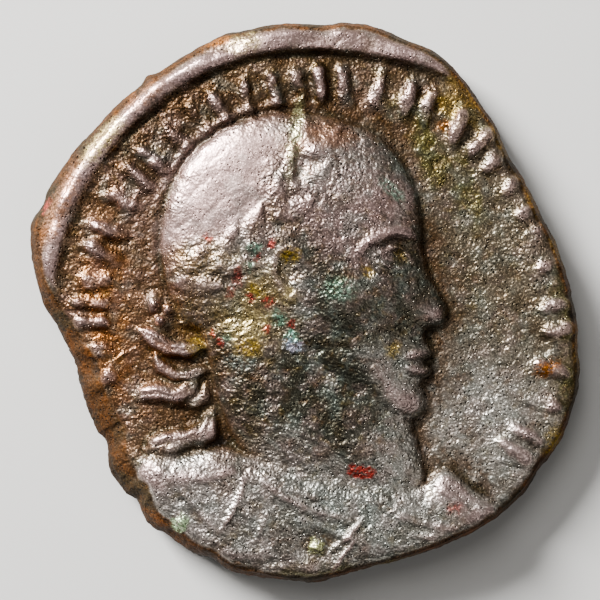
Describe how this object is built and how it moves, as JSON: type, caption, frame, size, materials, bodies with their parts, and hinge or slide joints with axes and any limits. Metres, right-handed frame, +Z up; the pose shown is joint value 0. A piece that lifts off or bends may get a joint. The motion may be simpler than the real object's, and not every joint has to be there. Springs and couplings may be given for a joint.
{
  "type": "roman bronze coin",
  "caption": "Worn hand-struck bronze coin with an uneven edge, a laureate draped bust in relief and a ring of shallow marks.",
  "frame": {"origin": "middle of the outline's box on the surface that the coin lies on", "axes": "+Z up out of the portrait side, +Y towards the top of the portrait's head, +X the way the portrait faces"},
  "size_m": [0.03, 0.0304, 0.0044],
  "materials": {
    "bronze": "dark olive-brown patina, worn smooth and faintly glossy on the high parts, with earth in the hollows"
  },
  "bodies": {
    "root": {"coin": "bronze"}
  },
  "joints": []
}
